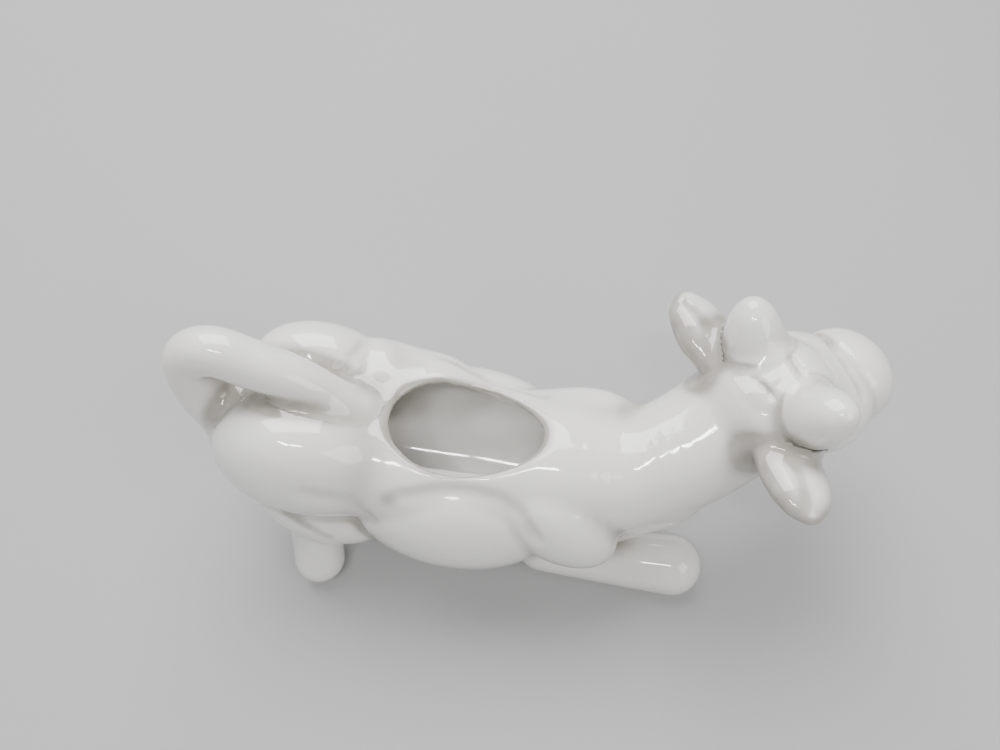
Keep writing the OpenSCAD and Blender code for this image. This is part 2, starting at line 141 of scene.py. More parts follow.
class GlazeLook(bpy.types.PropertyGroup):
    """Colours and finish of the glaze"""
    white: FloatVectorProperty(name="White", description="Colour of the glaze on open curves", subtype="COLOR",
                               default=(0.87, 0.86, 0.83), min=0, max=1)
    # Colour of the painted shade that darkens the glaze in creases
    pool: FloatVectorProperty(name="Painted shade", description="Colour of the glaze where it pools in creases",
                              subtype="COLOR", default=(0.36, 0.335, 0.29), min=0, max=1)
    cream: FloatVectorProperty(name="Cream", description="Colour of the warmer patches", subtype="COLOR",
                               default=(0.85, 0.81, 0.73), min=0, max=1)
    gloss: share("Gloss roughness", 0.07, "Roughness of the glaze's own shine")
    step: size("Casting step", 0.9, "Spacing of the grid that the cast skin is found on")
    sides: IntProperty(name="Bar sides", description="Points round a rolled bar", default=72, min=12)


# Places of the body's forms that are not worth a slider, in millimetres
FLANK = SimpleNamespace(length=36, width=28, height=26, back=16, left=13, right=8, z=44)
HIP = SimpleNamespace(length=28, width=24, height=28, back=29, side=15, z=46)
FOREHEAD = SimpleNamespace(length=26, width=28, depth=22, rise=4)
FACE_DROP = 3
BELLY_BACK, LEFT_HAUNCH_OUT, LEFT_SHOULDER_AHEAD, LEFT_SHOULDER_RISE = 3, 3, 1, 2
FACE_MIDDLE, FACE_OVERLAP = 0.42, 14
BRISKET = SimpleNamespace(ahead=40, right=4, z=27, reach_share=0.6, side_share=0.25, rise_share=0.42)
NECK_BASE = (26, 0, 42)
HOLE = SimpleNamespace(back=1, left=0.5, taper_share=0.15)
MELTS = SimpleNamespace(rump=10, neck=6, haunch=12, flank=5, head=3, crease=1.2, groove=1, face=0.8)
TILTS = SimpleNamespace(haunch=-20, fold=-20, right_shoulder=-28, left_shoulder=10, shoulder_turn=12)
TAIL_ROOT_Z, TAIL_LEAN, SOLE_FLAT = 56.5, 1, 1
INNER_MELT, THINNEST_WALL = 10, 2.6
# How deep a limb's hidden root lies under the skin, and how an ear's or horn's root rises out of it
ROOT_SINK = 1.4
RAMP = SimpleNamespace(start=4, slope=0.45, curve=0.14)
# Reach into the open air, weight and gain of each look round for the painted shade in creases
SHADE_LOOKS = ((1.2, 0.5, 4), (3, 0.3, 3), (6, 0.3, 2.4))
SHADE_OPEN = 0.98
EAR_CHANNEL = SimpleNamespace(depth=0.35, width=1.5)

# Courses as shares of a limb's reach, with shares of its thickness last
NECK_COURSE = [(0, 0, 0, 0), (0.45, 0.2, 0.1, 0.2), (0.83, 0.7, 0.6, 0.8), (1.12, 1.3, 1.2, 1)]
REACHING_LEG = [(1, 1, 1, 1), (0.6, 0.7, 0.15, 0.93), (0.3, 0.3, -0.08, 0.96), (0, 0, 0, 1)]
STANDING_LEG = [(1, 1, 1, 1.15), (0.6, 0.44, 0.37, 1), (0, 0, 0, 1)]
TAIL_COURSE = [(0, 0.8, 0, 0.85), (0.3, 0.8, 0.54, 0.97), (0.6, 1, 0.84, 1), (0.82, 1, 1, 1),
               (1, 1, 0.69, 1.08), (0.97, 0, 0, 1.35), (0.73, 0, -0.6, 1.9)]
EAR_COURSE = [(0, 0.3, 0, 0.7), (0.4, 0.62, 0.5, 1.05), (0.7, 0.82, 0.8, 0.98), (1, 0.96, 1, 0.6)]
# Soft creases pressed into the body, with their depth and half width
BODY_CREASES = [
    ([(-36.5, -23.6, 54.5), (-30.5, -22.6, 51.8), (-27, -22.3, 49), (-22.6, -22.4, 42)], 0.9, 2.2),
    ([(-26.2, 22.9, 55.7), (-22.2, 16.5, 57.9)], 0.3, 2.6),
    ([(-32.5, 18.7, 60.5), (-34, 12.6, 62.3), (-35.8, 9.3, 61.7)], 0.35, 1.4),
    ([(-17, -20, 50.6), (-14.1, -19.2, 52.4), (-4.5, -16.2, 53.7), (2.9, -15.2, 53.9), (10.4, -15.6, 52.9),
      (15.8, -17.7, 50.4), (20.9, -21.7, 45.8)], 0.8, 1.9),
    ([(-12.7, 21.4, 54.1), (-1.3, 19.3, 51.3), (10.3, 16, 52.5), (17.2, 14.6, 53.9)], 0.5, 1.3),
    ([(-52.3, -23.9, 47), (-47.5, -24.7, 44), (-44.8, -23.6, 40), (-39.5, -24.6, 36), (-34.4, -25, 32)], 0.6, 1.6),
]
HORN_COURSE = [(0, 1), (0.45, 0.88), (0.85, 0.55), (1.1, 0.15)]
LEG_ROOTS = {"right_fore": (23, -11, 13), "left_fore": (32, 14, 26),
             "right_hind": (-44, -14, 24), "left_hind": (-44, 14, 24)}
EAR = SimpleNamespace(back=6.5, root_rise=-3, right_rise=-1, left_rise=4, right_sweep=7, left_sweep=1.5,
                      left_reach_share=1.1, channel_back=2.5)
HORN = SimpleNamespace(root_back=3, root_side=10, root_rise=6, tip_back=5.5, tip_side=15)

# Lines tooled into the head, in its own frame: points ahead, left and up, then depth and half width
HEAD_LINES = [
    ([(-4.8, 8.7, 17), (-3, 3.5, 14), (-3.5, -1.9, 13.9), (-5.3, -5.9, 14.3)], 0.8, 1.2),
    ([(26, 11.5, 2.5), (25.3, 9.7, 4.4), (20.7, 2.6, 7.6), (19.8, -3.9, 7.6), (19.8, -10.1, 5.8)], 0.7, 1.5),
    ([(-11.3, 2.7, 8.4), (-10.3, -6.6, 9.8)], 0.22, 0.9),
    ([(-10.8, 0.4, 9.1), (-10.5, -4.5, 9.1)], 0.16, 0.8),
]
POLL_SINK, POLL_SOFTNESS = 0.7, 0.8
POLL = [(-4, 9.5), (-10, 14), (-11.2, 12.5), (-11.7, 10.5), (-13.8, 4.6), (-14.8, -0.5), (-14.4, -3.7), (-10.6, -8.3),
        (-4, -8)]

# The photo's camera: its place in the cow's millimetres, tip down and turn, and its lens as a share of the sensor
CAMERA_SPOT, CAMERA_TURNS = (21.926, -80.870, 229.214), (60, 10)
SENSOR_MM, LENS_SHARE = 36, 0.755


def millimetres(group):
    """A property group's lengths in millimetres, and its other values as they are"""
    values = {}
    for prop in group.bl_rna.properties:
        if prop.identifier in ("rna_type", "name"):
            continue
        value = getattr(group, prop.identifier)
        values[prop.identifier] = value * 1000 if getattr(prop, "unit", "") == "LENGTH" else value
    return SimpleNamespace(**values)


# Depths: arrays of points in, distance below (negative) or above the skin out

def melt(a, b, width):
    """Lower of two depths, joined softly, or by a groove where the width is negative"""
    h = np.maximum(1 - np.abs((a - b) / width), 0)
    return np.minimum(a, b) - h * h * width / 4


def turned(left, up):
    """Axes, as columns, of something turned left and tipped up"""
    cl, sl, cu, su = math.cos(left), math.sin(left), math.cos(up), math.sin(up)
    return np.array([[cl * cu, -sl, -cl * su], [sl * cu, cl, -sl * su], [su, 0, cu]])


def egg(p, middle, sizes, axes=None):
    q = p - np.array(middle, float)
    if axes is not None:
        q = q @ axes
    half = np.array(sizes, float) / 2
    u = q / half
    k = np.sqrt((u * u).sum(-1))
    v = u / half
    return k * (k - 1) / np.maximum(np.sqrt((v * v).sum(-1)), 1e-6)


def cone(p, a, b):
    """Depth in a round-ended cone between two balls, each x, y, z and radius"""
    a, b = np.asarray(a, float), np.asarray(b, float)
    along = b[:3] - a[:3]
    q = p - a[:3]
    h = np.clip((q @ along) / (along @ along), 0, 1)
    d = q - h[..., None] * along
    return np.sqrt((d * d).sum(-1)) - (a[3] + (b[3] - a[3]) * h)


def round_cone(p, a, b):
    """Depth in the skin stretched over two balls"""
    along = b[:3] - a[:3]
    length = along @ along
    taper = a[3] - b[3]
    lean = max(length - taper * taper, 1e-6)
    q = p - a[:3]
    y = q @ along
    z = y - length
    side = q * length - y[..., None] * along
    x2 = (side * side).sum(-1)
    edge = np.sign(taper) * taper * taper * x2
    beyond = np.sign(z) * lean * z * z * length > edge
    before = np.sign(y) * lean * y * y * length < edge
    middle = (np.sqrt(x2 * lean / length) + y * taper) / length - a[3]
    middle = np.where(before, np.sqrt(x2 + y * y * length) / length - a[3], middle)
    return np.where(beyond, np.sqrt(x2 + z * z * length) / length - b[3], middle)


def course(balls, steps):
    """Balls along a smooth curve through the given balls"""
    rows = np.array(balls, float)
    rows = np.vstack([2 * rows[0] - rows[1], rows, 2 * rows[-1] - rows[-2]])
    out = []
    for i in range(1, len(rows) - 2):
        a, b, c, d = rows[i - 1:i + 3]
        for t in np.arange(steps) / steps:
            out.append(0.5 * (2 * b + (c - a) * t + (2 * a - 5 * b + 4 * c - d) * t * t
                              + (3 * b - a - 3 * c + d) * t ** 3))
    out.append(rows[-2])
    return np.array(out)


def chain(p, balls, beyond=9.0):
    """Depth in a chain of cones, worked out only near it"""
    low = (balls[:, :3] - balls[:, 3:]).min(0) - beyond
    high = (balls[:, :3] + balls[:, 3:]).max(0) + beyond
    near = ((p > low) & (p < high)).all(-1)
    depth = np.full(p.shape[:-1], beyond * 2)
    if near.any():
        q = p[near]
        found = round_cone(q, balls[0], balls[1])
        for a, b in zip(balls[1:-1], balls[2:]):
            found = np.minimum(found, round_cone(q, a, b))
        depth[near] = np.minimum(found, beyond * 2)
    return depth


def to_line(p, points):
    """Distance from points to a line through the given points"""
    rows = np.array(points, float)
    best = None
    for a, b in zip(rows[:-1], rows[1:]):
        along = b - a
        q = p - a
        h = np.clip((q @ along) / (along @ along), 0, 1)
        d = q - h[..., None] * along
        d = np.sqrt((d * d).sum(-1))
        best = d if best is None else np.minimum(best, d)
    return best


def in_outline(p, outline):
    """Signed distance to an outline in a plane, negative inside"""
    rows = np.array(outline, float)
    ends = np.roll(rows, -1, axis=0)
    edge = to_line(p, np.vstack([rows, rows[:1]]))
    inside = np.zeros(len(p), bool)
    for a, b in zip(rows, ends):
        cuts = (a[1] > p[:, 1]) != (b[1] > p[:, 1])
        rise = b[1] - a[1] if abs(b[1] - a[1]) > 1e-9 else 1e-9
        inside ^= cuts & (p[:, 0] < a[0] + (b[0] - a[0]) * (p[:, 1] - a[1]) / rise)
    return np.where(inside, -edge, edge)


def slope(depth, p, reach=0.05):
    """Unit normals of a depth at points"""
    out = np.empty(p.shape)
    for axis in range(3):
        offset = np.zeros(3)
        offset[axis] = reach
        out[:, axis] = depth(p + offset) - depth(p - offset)
    return out / np.maximum(np.linalg.norm(out, axis=1), 1e-9)[:, None]


class Cow:
    """The whole cow's form, in millimetres from a point on the table below the filling hole's middle"""

    def __init__(self, kit):
        b, h, l = millimetres(kit.body), millimetres(kit.head), millimetres(kit.limbs)
        self.b, self.h, self.l = b, h, l
        t = SimpleNamespace(**{k: math.radians(v) for k, v in vars(TILTS).items()})
        self.barrel = ((0, 0, b.barrel_z), (b.barrel_length, b.barrel_width, b.barrel_height))
        haunch, fold, shoulder, belly = ([getattr(b, form + end) for end in ("_length", "_width", "_height")]
                                         for form in ("haunch", "fold", "shoulder", "belly"))
        flank, hip = ([place.length, place.width, place.height] for place in (FLANK, HIP))
        forms = [((-b.rump_back, 0, b.rump_z), (b.rump_length, b.rump_width, b.rump_height), None, MELTS.rump),
                 ((-b.haunch_back, -b.haunch_side, b.haunch_z), haunch, turned(0, t.haunch), MELTS.haunch)]
        for side in (FLANK.left, -FLANK.right):
            forms.append(((-FLANK.back, side, FLANK.z), flank, None, MELTS.flank))
        forms.append(((-HIP.back, HIP.side, HIP.z), hip, turned(0, t.fold), MELTS.flank))
        forms.append(((-b.haunch_back, b.haunch_side + LEFT_HAUNCH_OUT, b.haunch_z), haunch, turned(0, t.haunch),
                      MELTS.groove))
        for s in (1, -1):
            forms.append(((-b.fold_back, s * b.fold_side, b.fold_z), fold, turned(0, t.fold), MELTS.crease))
        forms.append(((b.shoulder_ahead, -b.shoulder_side, b.shoulder_z), shoulder,
                      turned(-t.shoulder_turn, t.right_shoulder), MELTS.crease))
        forms.append(((b.shoulder_ahead + LEFT_SHOULDER_AHEAD, b.shoulder_side, b.shoulder_z + LEFT_SHOULDER_RISE),
                      shoulder, turned(t.shoulder_turn, t.left_shoulder), MELTS.flank))
        for s in (1, -1):
            forms.append(((-BELLY_BACK, s * b.belly_side, b.belly_z), belly, None, MELTS.crease))
        self.forms = forms
        self.nape = np.array([h.nape_ahead, h.nape_side, h.nape_z])
        base = np.array(NECK_BASE, float)
        balls = []
        for i, s in enumerate(NECK_COURSE):
            thickness = h.neck_base if i == 0 else h.neck + (h.nape - h.neck) * s[3]
            balls.append(np.append(base + (self.nape - base) * np.array(s[:3]), thickness / 2))
        self.neck = course(balls, 5)
        start = np.array([BRISKET.ahead, -BRISKET.right, BRISKET.z])
        rise = np.array([BRISKET.reach_share, BRISKET.side_share, BRISKET.rise_share])
        self.brisket = (np.append(start, h.brisket / 2), np.append(start + (self.nape - start) * rise, h.brisket / 2))
        self.skull = np.array([h.skull_ahead, h.skull_side, h.skull_z])
        self.axes = turned(h.turn, -h.droop)
        self.muzzle = self.skull + self.axes @ np.array([h.face, 0, -FACE_DROP])
        aim = self.muzzle - self.nape
        self.ahead = np.array([aim[0], aim[1], 0]) / math.hypot(aim[0], aim[1])
        reach = [np.linalg.norm(self.axes[i] * np.array([h.muzzle_length, h.muzzle_width, h.muzzle_depth]) / 2)
                 for i in (0, 1)]
        front, left = self.muzzle[0] + reach[0], self.muzzle[1] + reach[1]
        rear = -l.tail_root - l.tail_reach - TAIL_COURSE[4][3] * l.tail / 2
        right = -l.hind_side - l.hind_hoof / 2
        self.shift = np.array([-(front + rear) / 2, -(left + right) / 2, 0])
        self.limbs = self.limb_courses()

    def limb_courses(self):
        """Each limb's balls along its course, in the cow's millimetres"""
        l = self.l
        fore = {"right_fore": ((l.right_fore_ahead, -l.right_fore_side), l.fore_hoof, REACHING_LEG),
                "left_fore": ((l.left_fore_ahead, l.left_fore_side), l.fore_hoof, STANDING_LEG),
                "right_hind": ((-l.hind_back, -l.hind_side), l.hind_hoof, STANDING_LEG),
                "left_hind": ((-l.hind_back, l.hind_side), l.hind_hoof, STANDING_LEG)}
        limbs = {}
        for name, (place, thickness, shares) in fore.items():
            hoof = np.array([*place, thickness / 2 - SOLE_FLAT])
            root = np.array(LEG_ROOTS[name], float)
            limbs[name] = course([np.append(hoof + (root - hoof) * np.array(s[:3]), s[3] * thickness / 2)
                                  for s in shares], 10)
        limbs["tail"] = course([(-l.tail_root - l.tail_reach * s[0], TAIL_LEAN * s[1],
                                 TAIL_ROOT_Z + l.tail_rise * s[2], s[3] * l.tail / 2) for s in TAIL_COURSE], 10)
        return limbs

    def ear_course(self, side):
        l = self.l
        sweep, rise = (EAR.left_sweep, EAR.left_rise) if side > 0 else (EAR.right_sweep, EAR.right_rise)
        reach = l.ear_spread / 2 * (EAR.left_reach_share if side > 0 else -1)
        return course([(-EAR.back - sweep * s[0], reach * s[1],
                        (EAR.root_rise + (rise - EAR.root_rise) * s[2]) / l.ear_flat, s[3] * l.ear_width / 2)
                       for s in EAR_COURSE], 8)

    def horn_course(self, side):
        l = self.l
        root = np.array([-HORN.root_back, side * HORN.root_side, HORN.root_rise, l.horn_root / 2])
        tip = np.array([-HORN.tip_back, side * HORN.tip_side, l.horn_rise, l.horn_tip / 2])
        return course([root + (tip - root) * np.array([t, t, t, 1 - s]) for t, s in HORN_COURSE], 8)

    def to_head(self, p):
        return (p - self.skull) @ self.axes

    def ear_depth(self, p, side):
        q = self.to_head(p)
        q[..., 2] /= self.l.ear_flat
        return chain(q, self.ear_course(side)) * self.l.ear_flat

    def horn_depth(self, p, side):
        return chain(self.to_head(p), self.horn_course(side))

    def body_depth(self, p, softest=None):
        d = egg(p, *self.barrel)
        for middle, sizes, axes, width in self.forms:
            if softest is None:
                d = melt(d, egg(p, middle, sizes, axes), width)
            elif width != MELTS.crease:
                d = melt(d, egg(p, middle, sizes, axes), max(width, softest))
        neck = cone(p, self.neck[0], self.neck[1])
        for a, b in zip(self.neck[1:-1], self.neck[2:]):
            neck = np.minimum(neck, cone(p, a, b))
        d = melt(d, neck, MELTS.neck)
        return melt(d, cone(p, *self.brisket), MELTS.flank)

    def head_depth(self, p):
        h = self.h
        q = self.to_head(p)
        d = egg(q, (0, 0, 0), (h.skull_length, h.skull_width, h.skull_depth))
        face = egg(q, (FACE_MIDDLE * h.face, 0, -FACE_DROP), (h.face + FACE_OVERLAP, h.face_width, h.face_depth))
        d = melt(d, face, MELTS.head)
        d = melt(d, egg(q, (0, 0, FOREHEAD.rise), (FOREHEAD.length, FOREHEAD.width, FOREHEAD.depth)), MELTS.face)
        return melt(d, egg(q, (h.face, 0, -FACE_DROP), (h.muzzle_length, h.muzzle_width, h.muzzle_depth)), MELTS.face)

    def plain(self, p):
        """The closed cow without limbs or tooling"""
        return melt(self.body_depth(p), self.head_depth(p), MELTS.head)

    def tooling(self, p):
        """How deep the lines and the sunken poll are tooled into the head, fading out at ears and horns"""
        cut = np.zeros(len(p))
        q = self.to_head(p)
        near = (np.abs(q[:, 0] - 5) < 26) & (np.abs(q[:, 1]) < 18) & (q[:, 2] > 0) & (q[:, 2] < 24)
        if near.any():
            r = q[near]
            dug = np.zeros(len(r))
            for points, deep, width in HEAD_LINES:
                dug += deep * np.exp(-(to_line(r, points) / width) ** 2)
            edge = in_outline(r[:, :2], POLL)
            dug += POLL_SINK / (1 + np.exp(edge / POLL_SOFTNESS))
            away = [f(p[near], side) for f in (self.horn_depth, self.ear_depth) for side in (1, -1)]
            fade = np.clip((np.min(away, axis=0) - 0.5) / 3, 0, 1)
            cut[near] = dug * fade ** 2 * (3 - 2 * fade)
        return cut

    def skin(self, p):
        """The closed cow without limbs, with its tooling"""
        d = self.plain(p) + self.tooling(p)
        for points, deep, width in BODY_CREASES:
            near = ((p > np.min(points, axis=0) - 6) & (p < np.max(points, axis=0) + 6)).all(-1)
            d[near] += deep * np.exp(-(to_line(p[near], points) / width) ** 2)
        return d

    def shell(self, p):
        """The hollow casting: skin, wall, filling hole with its rounded lip, and spout"""
        b, h = self.b, self.h
        skin = self.skin(p)
        inside = skin < -1
        core = melt(self.body_depth(p[inside], INNER_MELT), self.head_depth(p[inside]), INNER_MELT)
        clay = skin.copy()
        clay[inside] = np.maximum(skin[inside], -np.maximum(core + b.wall, skin[inside] + THINNEST_WALL))
        across = (p[:, 0] + HOLE.back) / (b.hole_length / 2)
        width = b.hole_width / 2 * (1 - HOLE.taper_share * np.clip(across, -1, 1))
        k = np.sqrt(across ** 2 + ((p[:, 1] - HOLE.left) / width) ** 2)
        hole = np.maximum((k - 1) * width, b.barrel_z - p[:, 2])
        clay = -melt(-clay, hole, b.lip)
        q = self.to_head(p)
        bore = np.maximum(np.hypot(q[:, 1], q[:, 2] + FACE_DROP) - h.spout / 2, h.face - q[:, 0])
        return -melt(-clay, bore, 1.2)

    def whole(self, p):
        """The casting with every limb luted on, for smooth shading across the joints"""
        d = self.shell(p)
        out = self.skin(p) > -1
        q = p[out]
        e = d[out]
        for balls in self.limbs.values():
            e = melt(e, chain(q, balls), self.l.lute)
        for side in (1, -1):
            e = melt(e, self.ear_depth(q, side), self.l.horn_lute)
            e = melt(e, self.horn_depth(q, side), self.l.horn_lute)
        d[out] = e
        return d

    def to_frame(self, p):
        return (p + self.shift) / 1000


def cast_skin(depth, low, high, step):
    """Points and four-sided faces of the skin where a depth is zero"""
    low = np.array(low, float)
    coarse = 4
    blocks = np.ceil((np.array(high) - low) / (step * coarse)).astype(int)
    count = blocks * coarse
    centres = [low[i] + step * coarse * (np.arange(blocks[i]) + 0.5) for i in range(3)]
    grid = np.stack(np.meshgrid(*centres, indexing="ij"), -1)
    rough = depth(grid.reshape(-1, 3)).reshape(blocks)
    near = np.abs(rough) < step * coarse * 1.5
    values = np.repeat(np.repeat(np.repeat(rough, coarse, 0), coarse, 1), coarse, 2)
    fine = np.repeat(np.repeat(np.repeat(near, coarse, 0), coarse, 1), coarse, 2)
    index = np.argwhere(fine)
    points = low + step * index
    found = np.empty(len(points))
    for i in range(0, len(points), 200000):
        found[i:i + 200000] = depth(points[i:i + 200000])
    values[fine] = found
    inside = values < 0
    cells = count - 1
    total = np.zeros(tuple(cells), int)
    for dx, dy, dz in np.ndindex(2, 2, 2):
        total += inside[dx:dx + cells[0], dy:dy + cells[1], dz:dz + cells[2]]
    active = (total > 0) & (total < 8)
    number = np.full(tuple(cells), -1)
    where = np.argwhere(active)
    number[active] = np.arange(len(where))
    sums, hits = np.zeros((len(where), 3)), np.zeros(len(where))
    for axis in range(3):
        u, v = [a for a in range(3) if a != axis]
        for du, dv in np.ndindex(2, 2):
            start = where.copy()
            start[:, u] += du
            start[:, v] += dv
            end = start.copy()
            end[:, axis] += 1
            a, b = values[tuple(start.T)], values[tuple(end.T)]
            crossed = (a < 0) != (b < 0)
            spot = start[crossed].astype(float)
            spot[:, axis] += a[crossed] / (a[crossed] - b[crossed])
            sums[crossed] += spot
            hits[crossed] += 1
    vertices = low + step * sums / hits[:, None]
    faces = []
    for axis in range(3):
        u, v = (axis + 1) % 3, (axis + 2) % 3
        cut = [slice(1, None)] * 3
        cut[axis] = slice(0, -1)
        a = inside[tuple(slice(0, c) for c in count)]
        first = a[tuple(slice(0, -1) if i == axis else slice(1, -1) for i in range(3))]
        second = a[tuple(slice(1, None) if i == axis else slice(1, -1) for i in range(3))]
        for outward in (True, False):
            changed = np.argwhere((first & ~second) if outward else (~first & second))
            if not len(changed):
                continue
            base = changed + 1
            base[:, axis] -= 1
            corners = []
            for du, dv in ((1, 1), (0, 1), (0, 0), (1, 0)):
                c = base.copy()
                c[:, u] -= du
                c[:, v] -= dv
                corners.append(number[tuple(c.T)])
            quad = np.stack(corners, 1)
            faces.append(quad if outward else quad[:, ::-1])
    faces = np.vstack(faces)
    for turn_round in range(3):
        ends = np.roll(faces, -1, axis=1)
        middle, links = np.zeros(vertices.shape), np.zeros(len(vertices))
        for k in range(4):
            for a, b in ((faces[:, k], ends[:, k]), (ends[:, k], faces[:, k])):
                for axis in range(3):
                    middle[:, axis] += np.bincount(a, vertices[b, axis], len(vertices))
                links += np.bincount(a, minlength=len(vertices))
        pull = middle / links[:, None] - vertices
        normal = slope(depth, vertices)
        vertices += 0.6 * (pull - (pull * normal).sum(1)[:, None] * normal)
        vertices -= depth(vertices)[:, None] * slope(depth, vertices)
    vertices -= depth(vertices)[:, None] * slope(depth, vertices)
    return vertices, faces


def painted_shade(cow, p, normals):
    """How much painted shade darkens each point: more in creases, where less open air lies round it"""
    shut = np.zeros(len(p))
    for reach, part, gain in SHADE_LOOKS:
        shut += part * np.clip((SHADE_OPEN - cow.whole(p + reach * normals) / reach) * gain, 0, 1)
    return np.clip(shut, 0, 1)


def finish_piece(name, mesh, node, cow, normals, pool):
    """Give a piece its shading, its painted crease shade, glaze and place in the frame"""
    # painted shade in creases, kept per point for the glaze to darken
    mesh.attributes.new("painted_shade", "FLOAT", "POINT").data.foreach_set("value", pool.astype(np.float32))
    mesh.polygons.foreach_set("use_smooth", np.ones(len(mesh.polygons), bool))
    mesh.normals_split_custom_set_from_vertices(normals.tolist())
    mesh.materials.clear()
    mesh.materials.append(bpy.data.materials["Porcelain glaze"])
    mesh.polygons.foreach_set("material_index", np.zeros(len(mesh.polygons), np.int32))
    piece = bpy.data.objects.new(name, mesh)
    bpy.context.scene.collection.objects.link(piece)
    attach(piece, "root")
    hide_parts(node)


def vectors(mesh, field="co"):
    """A mesh's points or normals as rows"""
    rows = np.empty(len(mesh.vertices) * 3)
    mesh.vertices.foreach_get(field, rows)
    return rows.reshape(-1, 3)


def bar_tree():
    """Rolled clay: a round bar along a course of points that carry their thickness"""
    tree = bpy.data.node_groups.get("Rolled clay bar")
    if tree:
        return tree
    tree = bpy.data.node_groups.new("Rolled clay bar", "GeometryNodeTree")
    face = tree.interface
    face.new_socket("Course", in_out="INPUT", socket_type="NodeSocketGeometry")
    for label, kind, value in (("Sides", "NodeSocketInt", 72), ("Flatness", "NodeSocketFloat", 1.0)):
        face.new_socket(label, in_out="INPUT", socket_type=kind).default_value = value
    face.new_socket("Glaze", in_out="INPUT", socket_type="NodeSocketMaterial")
    face.new_socket("Bar", in_out="OUTPUT", socket_type="NodeSocketGeometry")
    nodes, link = tree.nodes, tree.links.new
    start, end = nodes.new("NodeGroupInput"), nodes.new("NodeGroupOutput")
    line = nodes.new("GeometryNodeMeshToCurve")
    link(start.outputs["Course"], line.inputs["Mesh"])
    thickness = nodes.new("GeometryNodeInputNamedAttribute")
    thickness.data_type = "FLOAT"
    thickness.inputs["Name"].default_value = "thickness"
    ring = nodes.new("GeometryNodeCurvePrimitiveCircle")
    ring.inputs["Radius"].default_value = 1
    link(start.outputs["Sides"], ring.inputs["Resolution"])
    sweep = nodes.new("GeometryNodeCurveToMesh")
    link(line.outputs["Curve"], sweep.inputs["Curve"])
    link(ring.outputs["Curve"], sweep.inputs["Profile Curve"])
    link(thickness.outputs["Attribute"], sweep.inputs["Scale"])
    sweep.inputs["Fill Caps"].default_value = True
    squash = nodes.new("GeometryNodeTransform")
    scale = nodes.new("ShaderNodeCombineXYZ")
    scale.inputs[0].default_value = scale.inputs[1].default_value = 1
    link(start.outputs["Flatness"], scale.inputs[2])
    link(sweep.outputs["Mesh"], squash.inputs["Geometry"])
    link(scale.outputs[0], squash.inputs["Scale"])
    glaze = nodes.new("GeometryNodeSetMaterial")
    link(squash.outputs["Geometry"], glaze.inputs["Geometry"])
    link(start.outputs["Glaze"], glaze.inputs["Material"])
    link(glaze.outputs["Geometry"], end.inputs["Bar"])
    return tree


def rings(balls, rounded_start=True, steps=14):
    """Rings round a course of balls, rounded off at both ends, and the middle that each ring is cast from"""
    out, middles = [], []
    for end, inner in ((0, 1), (-1, -2)):
        ball = balls[end]
        way = ball[:3] - balls[inner][:3]
        way /= np.linalg.norm(way)
        turns = math.pi / 2 * np.arange(1, steps + 1) / (steps + 0.3)
        out.append(np.array([np.append(ball[:3] + way * ball[3] * math.sin(t), ball[3] * math.cos(t)) for t in turns]))
        middles.append(np.tile(ball[:3], (steps, 1)))
    if not rounded_start:
        return np.vstack([balls, out[1]]), np.vstack([balls[:, :3], middles[1]])
    return np.vstack([out[0][::-1], balls, out[1]]), np.vstack([middles[0], balls[:, :3], middles[1]])


def roll_bar(name, balls, sides, flat=1.0):
    """Sweep a bar with Geometry Nodes and return its mesh; the balls are in metres"""
    mesh = bpy.data.meshes.new(name + "_course")
    mesh.from_pydata(balls[:, :3].tolist(), [(i, i + 1) for i in range(len(balls) - 1)], [])
    mesh.attributes.new("thickness", "FLOAT", "POINT").data.foreach_set("value", balls[:, 3].astype(np.float32))
    helper = bpy.data.objects.new(name + "_course", mesh)
    bpy.context.scene.collection.objects.link(helper)
    tree = bar_tree()
    modifier = helper.modifiers.new("Rolled clay bar", "NODES")
    modifier.node_group = tree
    ids = {item.name: item.identifier for item in tree.interface.items_tree if item.in_out == "INPUT"}
    modifier[ids["Sides"]] = sides
    modifier[ids["Flatness"]] = flat
    modifier[ids["Glaze"]] = bpy.data.materials["Porcelain glaze"]
    graph = bpy.context.evaluated_depsgraph_get()
    graph.update()
    bar = bpy.data.meshes.new_from_object(helper.evaluated_get(graph))
    bpy.data.objects.remove(helper)
    bpy.data.meshes.remove(mesh)
    if not len(bar.polygons):
        raise RuntimeError("the bar for " + name + " came out empty")
    bar.name = name
    return bar


def cast_bar(p, middles, limb):
    """Move each ring's points out from its middle onto the limb's skin"""
    middles = np.repeat(middles, len(p) // len(middles), axis=0)
    way = p - middles
    way /= np.maximum(np.linalg.norm(way, axis=1), 1e-9)[:, None]
    reach = np.zeros(len(p))
    for turn_round in range(30):
        reach += np.clip(-limb(middles + way * reach[:, None]), -1, 8)
    return middles + way * reach[:, None]


